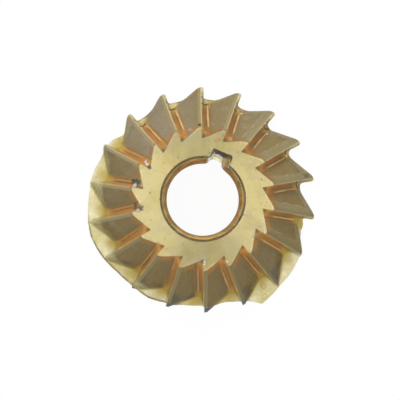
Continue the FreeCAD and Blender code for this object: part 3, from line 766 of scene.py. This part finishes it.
def coat_material():
    """Amber plastic: the colour comes from the depth of the coat and from the cloud in it, which
    also carries painted highlights and painted shade.
    """
    material, shader = new_shader("peel_film")
    tooth = ToothPlace(shader)
    ripples = shader.noise(tooth.place, RIPPLE_SCALE, 2.0, 0.5)
    bump = shader.node("ShaderNodeBump", inputs={
        "Height": ripples, "Strength": 0.25, "Distance": 0.0003})
    clear = shader.node("ShaderNodeBsdfPrincipled", inputs={
        "Base Color": colour(1.0, 0.985, 0.94), "Roughness": 0.10, "IOR": 1.38,
        "Transmission Weight": 1.0, "Normal": bump.outputs[0]})
    share, tint = coat_cloud_and_painted_light(shader, tooth)
    cloud = shader.node("ShaderNodeBsdfDiffuse", inputs={
        "Color": tint, "Normal": bump.outputs[0]})
    volume = shader.node("ShaderNodeVolumeAbsorption", inputs={
        "Color": colour(0.98, 0.86, 0.0), "Density": 1200.0})
    shader.node("ShaderNodeOutputMaterial", inputs={
        "Surface": shader.mixed_surface(share, clear.outputs[0], cloud.outputs[0]),
        "Volume": volume.outputs[0]})
    return material


def floor_material():
    """Pale paint that looks nearly white in the picture, directly or through the coat."""
    material, shader = new_shader("pale_floor")
    path = shader.node("ShaderNodeLightPath")
    seen = shader.math("MAXIMUM", path.outputs["Is Camera Ray"], path.outputs["Is Transmission Ray"])
    seen = shader.math("MAXIMUM", seen, path.outputs["Is Glossy Ray"])
    paint = shader.node("ShaderNodeBsdfDiffuse", inputs={"Color": colour(0.86, 0.86, 0.86)})
    white = shader.node("ShaderNodeEmission", inputs={"Color": colour(1, 1, 1), "Strength": 1.0})
    glow = shader.times(seen, FLOOR_GLOW)
    shader.node("ShaderNodeOutputMaterial", inputs={
        "Surface": shader.mixed_surface(glow, paint.outputs[0], white.outputs[0])})
    return material


def soft_min(first, second, width):
    """The lesser of two fields, with a fillet where they meet."""
    overlap = np.clip(width - np.abs(first - second), 0, None)
    return np.minimum(first, second) - overlap ** 2 / (4 * width)


def soft_max(first, second, width):
    """The greater of two fields, with a rounded edge where they meet."""
    return -soft_min(-first, -second, width)


def rise(value, low, high):
    """Smooth 0 to 1 as value runs from low to high."""
    share = np.clip((value - low) / (high - low), 0, 1)
    return share * share * (3 - 2 * share)


def ripple(points, length, seed):
    """Smooth waviness between about -1 and 1, with waves of about the given length."""
    rng = np.random.default_rng(seed)
    total = np.zeros(len(points))
    waves = 7
    for _ in range(waves):
        way = rng.normal(size=3)
        way *= 2 * math.pi / (length * np.linalg.norm(way) * rng.uniform(0.7, 1.4))
        total += np.sin(points @ way + rng.uniform(0, 2 * math.pi))
    return total / math.sqrt(waves)


def foot_edge(clockwise):
    """Radius of the film's free edge in each direction, in degrees from the keyway."""
    angles, past = np.array(FOOT_EDGE).T
    return TIP_RADIUS + np.interp(clockwise, angles, past, period=360)


def gash_field(radius, angle, height, wave, tip_coat):
    """Distance into the open gash in front of one tooth, past the coat on its two faces."""
    across = radius * np.sin(angle)
    along = radius * np.cos(angle)
    rake = across - FILM_RAKE - tip_coat - GASH_WAVE * wave
    plan = BACK_NORMAL.x * across + BACK_NORMAL.y * along - BACK_OFFSET
    back = plan + BACK_NORMAL.z * height - FILM_BACK - GASH_WAVE * wave
    in_plan = math.hypot(BACK_NORMAL.x, BACK_NORMAL.y)
    foot = (plan + BACK_NORMAL.z * FILM_UNDER) / in_plan - FILM_FOOT
    return soft_min(rake, soft_max(back, foot, GASH_FOOT_BLEND), POOL_BLEND)


def bare_radius(from_tooth, pitch):
    """Radius where the coat ends at the bare tooth corners. Elsewhere it is far out."""
    far_out = 1000.0
    bare = np.full(len(from_tooth), far_out)
    nearest = np.round((from_tooth + TOOTH_LAG) / pitch) % TEETH
    for tooth, setback in BARE_CORNERS.items():
        bare = np.where(nearest == tooth, TIP_RADIUS - setback, bare)
    return bare


def body_field(points, radius, clockwise, open_side):
    """The coat over the teeth and the hub, with its gashes and bare corners."""
    z = points[:, 2]
    pitch = 360 / TEETH
    from_tooth = clockwise + KEYWAY_LEAD
    wave = ripple(points, BODY_WAVE_LENGTH, 1)
    cone = ((radius - CONE_FOOT) * CONE_RISE + z - FILM_UNDER) * math.cos(
        math.radians(CONE_ANGLE)) - FILM_CONE - CONE_WAVE * wave
    face = z - HUB_Z - FILM_FACE - FACE_WAVE * wave
    tip = radius - TIP_RADIUS - FILM_TIP
    body = soft_max(soft_max(cone, face, EDGE_BLEND), tip, TIP_BLEND)
    sector = np.floor(from_tooth / pitch)
    tip_coat = TIP_POOL * open_side * rise(radius, *TIP_POOL_RADII)
    for step in (-1, 0, 1):
        angle = np.radians(from_tooth - (sector + step) * pitch)
        body = soft_max(body, gash_field(radius, angle, z, wave, tip_coat), EDGE_BLEND)
    bare = bare_radius(from_tooth, pitch)
    return body + BARE_SINK * rise(radius - bare, -BARE_SOFT, BARE_SOFT)


def sheet_field(points, radius, clockwise, open_side):
    """The film on the floor around the foot, with its bead, curls and bubbles."""
    x, y, z = points.T
    from_rim = foot_edge(clockwise) - radius
    bead = BEAD_HEIGHT * np.exp(-((from_rim - BEAD_INSET) / BEAD_WIDTH) ** 2)
    bead = bead * rise(np.abs(clockwise - BEAD_SIDE), *BEAD_REACH)
    curls = CURL_WAVE * open_side * rise(radius, *CURL_RADII)
    curls = curls * ripple(points, CURL_WAVE_LENGTH, 5)
    top = z - SHEET - SHEET_WAVE * ripple(points, SHEET_WAVE_LENGTH, 2) - bead - curls
    for right, up in BUBBLES:
        spot = picture_point(right, up, 0) / MM
        away = np.hypot(x - spot.x, y - spot.y) - BUBBLE_RADIUS
        top = top - BUBBLE_HEIGHT * np.exp(-(away / BUBBLE_WIDTH) ** 2)
    return soft_max(top, -from_rim, RIM_BLEND)


def hole_field(points, radius):
    """The open bore and keyway inside their lining, with the keyway's pool and bottom web."""
    x, y, z = points.T
    pool = KEY_POOL * rise(HUB_Z - z, *KEY_POOL_DEPTHS) * rise(y, *KEY_POOL_PLACE)
    side = soft_max(-x - KEYWAY_HALF + FILM_KEYWAY, x - KEYWAY_HALF + FILM_KEYWAY + pool,
                    KEY_SIDE_BLEND)
    slot = -soft_max(side, y - KEYWAY_FLOOR + FILM_KEYWAY, KEY_CORNER_BLEND)
    slot = np.minimum(slot, y)
    web = np.maximum(z - KEY_SHEET, KEY_WEB_RADIUS - radius)
    slot = soft_min(slot, web, KEY_WEB_BLEND)
    bore = BORE_RADIUS - FILM_BORE - radius
    return soft_max(slot, bore, KEY_BORE_BLEND)


def coat_field(points):
    """Signed distance from the coat's skin in millimetres, below zero inside."""
    x, y, z = points.T
    radius = np.hypot(x, y)
    clockwise = np.degrees(np.arctan2(x, y)) % 360
    open_side = rise(np.cos(np.radians(clockwise + PICTURE_TURN - CURL_SIDE)), -0.1, 0.5)
    body = body_field(points, radius, clockwise, open_side)
    sheet = sheet_field(points, radius, clockwise, open_side)
    whole = soft_min(body, sheet, FOOT_BLEND)
    whole = soft_max(whole, hole_field(points, radius), BORE_EDGE_BLEND)
    return soft_max(whole, -z, UNDER_BLEND)


def corner_view(array, corner):
    """The values of a grid's points at one corner of every cell."""
    return array[tuple(slice(c, c + n - 1) for c, n in zip(corner, array.shape))]


def sampled(field, axes):
    """The field at every point of a grid, taken level by level."""
    values = np.empty([len(axis) for axis in axes], dtype=np.float32)
    plane_x, plane_y = np.meshgrid(axes[0], axes[1], indexing="ij")
    for k, height in enumerate(axes[2]):
        level = np.stack([plane_x.ravel(), plane_y.ravel(), np.full(plane_x.size, height)], 1)
        values[:, :, k] = field(level).reshape(plane_x.shape)
    return values


def net_points(values, active):
    """In each active cell, the middle of the places where its edges cross zero, in cells."""
    place = np.argwhere(active)
    level = {c: corner_view(values, c)[active].astype(float) for c in CELL_CORNERS}
    total = np.zeros((len(place), 3))
    crossings = np.zeros(len(place))
    for corner in CELL_CORNERS:
        for axis in range(3):
            if corner[axis]:
                continue
            other = tuple(1 if n == axis else v for n, v in enumerate(corner))
            first, second = level[corner], level[other]
            cut = (first < 0) != (second < 0)
            share = np.where(cut, first / np.where(cut, first - second, 1), 0)
            spot = np.tile(np.array(corner, dtype=float), (len(place), 1))
            spot[:, axis] = share
            total += spot * cut[:, None]
            crossings += cut
    return place + total / crossings[:, None]


def net_quads(inside, index):
    """A quad around each grid edge that crosses zero, facing outward."""
    cells = index.shape
    quads = []
    for axis in range(3):
        near = [slice(1, n) for n in cells]
        near[axis] = slice(0, cells[axis])
        far = list(near)
        far[axis] = slice(1, cells[axis] + 1)
        first, second = inside[tuple(near)], inside[tuple(far)]
        spots = np.argwhere(first != second)
        spots += np.array([0 if n == axis else 1 for n in range(3)])
        flip = inside[tuple(spots.T)]
        b, c = [n for n in range(3) if n != axis]
        ring = []
        for down_b, down_c in ((1, 1), (0, 1), (0, 0), (1, 0)):
            cell = spots.copy()
            cell[:, b] -= down_b
            cell[:, c] -= down_c
            ring.append(index[tuple(cell.T)])
        quad = np.stack(ring, 1)
        outward = flip if axis != 1 else ~flip
        quads.append(np.where(outward[:, None], quad, quad[:, ::-1]))
    return np.concatenate(quads)


def surface_nets(field, low, high, step):
    """Quads along the zero of a field inside a box: one point in each cell that it crosses."""
    counts = [int(math.ceil((b - a) / step)) + 1 for a, b in zip(low, high)]
    axes = [a + np.arange(n) * step for a, n in zip(low, counts)]
    values = sampled(field, axes)
    inside = values < 0
    filled = sum(corner_view(inside, c).astype(np.int8) for c in CELL_CORNERS)
    active = (filled > 0) & (filled < len(CELL_CORNERS))
    index = np.full(active.shape, -1, dtype=np.int64)
    index[active] = np.arange(active.sum())
    points = net_points(values, active) * step + np.array(low)
    return points, net_quads(inside, index)


def settle(points, field):
    """Move points onto the zero of the field, a short way in each round."""
    rounds = 3
    probe = 0.02
    least_slope = 0.2
    longest_move = 0.2
    shortest_move = 1e-9
    for _ in range(rounds):
        value = field(points)
        slope = np.empty_like(points)
        for axis in range(3):
            step = np.zeros(3)
            step[axis] = probe
            slope[:, axis] = (field(points + step) - field(points - step)) / (2 * probe)
        size = np.clip((slope ** 2).sum(1), least_slope, None)
        move = slope * (value / size)[:, None]
        length = np.linalg.norm(move, axis=1)
        move *= (np.clip(length, 0, longest_move) / np.clip(length, shortest_move, None))[:, None]
        points = points - move
    return points


def applied(obj, kind, **settings):
    """Run one modifier and keep its result as the object's mesh."""
    modifier = obj.modifiers.new("step", kind)
    for name, value in settings.items():
        setattr(modifier, name, value)
    graph = bpy.context.evaluated_depsgraph_get()
    mesh = bpy.data.meshes.new_from_object(obj.evaluated_get(graph))
    obj.modifiers.clear()
    obj.data = mesh
    return obj


def coat_skin():
    """The skin as a thinned-out mesh object."""
    reach = TIP_RADIUS + ROOM_BESIDE
    low = (-reach, -reach, -ROOM_BELOW)
    high = (reach, reach, HUB_Z + ROOM_ABOVE)
    points, quads = surface_nets(coat_field, low, high, SKIN_STEP)
    points = settle(points, coat_field)
    mesh = bpy.data.meshes.new("coat_skin")
    mesh.from_pydata((points * MM).tolist(), [], quads.tolist())
    mesh.validate()
    coat = linked(bpy.data.objects.new("coat_skin", mesh))
    share = SKIN_TRIANGLES / (2 * len(quads))
    if share < 1:
        applied(coat, "DECIMATE", ratio=share)
    return coat


def make_coat():
    """The coat's outer skin. The steel stands inside it, so its inner face isn't drawn."""
    coat = coat_skin()
    points = np.empty(3 * len(coat.data.vertices))
    coat.data.vertices.foreach_get("co", points)
    points = points.reshape(-1, 3)
    points[:, 2] = np.clip(points[:, 2], 0, HUB_TOP * MM)
    coat.data.vertices.foreach_set("co", points.ravel())
    x, y, _ = points.T / MM
    from_rim = foot_edge(np.degrees(np.arctan2(x, y)) % 360) - np.hypot(x, y)
    coat.data.attributes.new("from_rim", "FLOAT", "POINT").data.foreach_set("value", from_rim)
    coat.data.shade_smooth()
    coat.data.materials.clear()
    coat.data.materials.append(coat_material())
    return coat


def make_world():
    """Even grey light, a little brighter overhead, that the camera sees as near white."""
    low_sky = colour(0.45, 0.45, 0.46)
    high_sky = colour(0.52, 0.52, 0.52)
    backdrop = colour(0.98, 0.98, 0.98)
    world = bpy.data.worlds.new("studio")
    bpy.context.scene.world = world
    shader = Shader(world)
    direction = shader.node("ShaderNodeTexCoord").outputs["Generated"]
    up = shader.node("ShaderNodeSeparateXYZ", inputs={"Vector": direction}).outputs["Z"]
    light = shader.mix(shader.ramp(up, 0.0, 0.9), low_sky, high_sky)
    seen = shader.node("ShaderNodeLightPath").outputs["Is Camera Ray"]
    light = shader.mix(seen, light, backdrop)
    background = shader.node("ShaderNodeBackground", inputs={"Color": light, "Strength": 1.0})
    shader.node("ShaderNodeOutputWorld", inputs={"Surface": background.outputs[0]})


def make_lamp(name, degrees, elevation, distance, size, power):
    """A soft lamp aimed at the part, its longer side square to its direction."""
    lamp = bpy.data.lights.new(name, "AREA")
    lamp.shape = "RECTANGLE"
    lamp.size, lamp.size_y = size
    lamp.energy = power
    obj = linked(bpy.data.objects.new(name, lamp))
    slope = math.radians(elevation)
    toward = picture_direction(degrees)
    away = toward * math.cos(slope) + Vector((0, 0, math.sin(slope)))
    side = Vector((0, 0, 1)).cross(away).normalized()
    turn = Matrix((side, away.cross(side), away)).transposed().to_4x4()
    obj.matrix_world = Matrix.Translation(away * distance) @ turn


def make_floor():
    mesh = bpy.data.meshes.new("floor")
    corners = [(-1, -1), (1, -1), (1, 1), (-1, 1)]
    points = [(x * FLOOR_REACH, y * FLOOR_REACH, -FLOOR_DROP) for x, y in corners]
    mesh.from_pydata(points, [], [(0, 1, 2, 3)])
    floor = linked(bpy.data.objects.new("floor", mesh))
    mesh.materials.append(floor_material())


def make_camera():
    camera = bpy.data.cameras.new("camera")
    camera.lens = CAMERA_LENS
    camera.clip_start = 0.01
    camera.clip_end = 10.0
    obj = linked(bpy.data.objects.new("camera", camera))
    place = picture_point(*CAMERA_AT)
    back = (place - picture_point(*CAMERA_AIM)).normalized()
    right = picture_direction(0).cross(back).normalized()
    up = back.cross(right)
    turn = Matrix((right, up, back)).transposed().to_4x4()
    obj.matrix_world = Matrix.Translation(place) @ turn
    bpy.context.scene.camera = obj


bpy.context.scene.view_settings.view_transform = "Standard"

steel_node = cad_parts["cutter_body"]
steel_node.data.materials.clear()
steel_node.data.materials.append(steel_material())

coat = make_coat()
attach(coat, "root")
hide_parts("peel_coating")

make_floor()
make_world()
for lamp_values in LAMPS:
    make_lamp(*lamp_values)
make_camera()
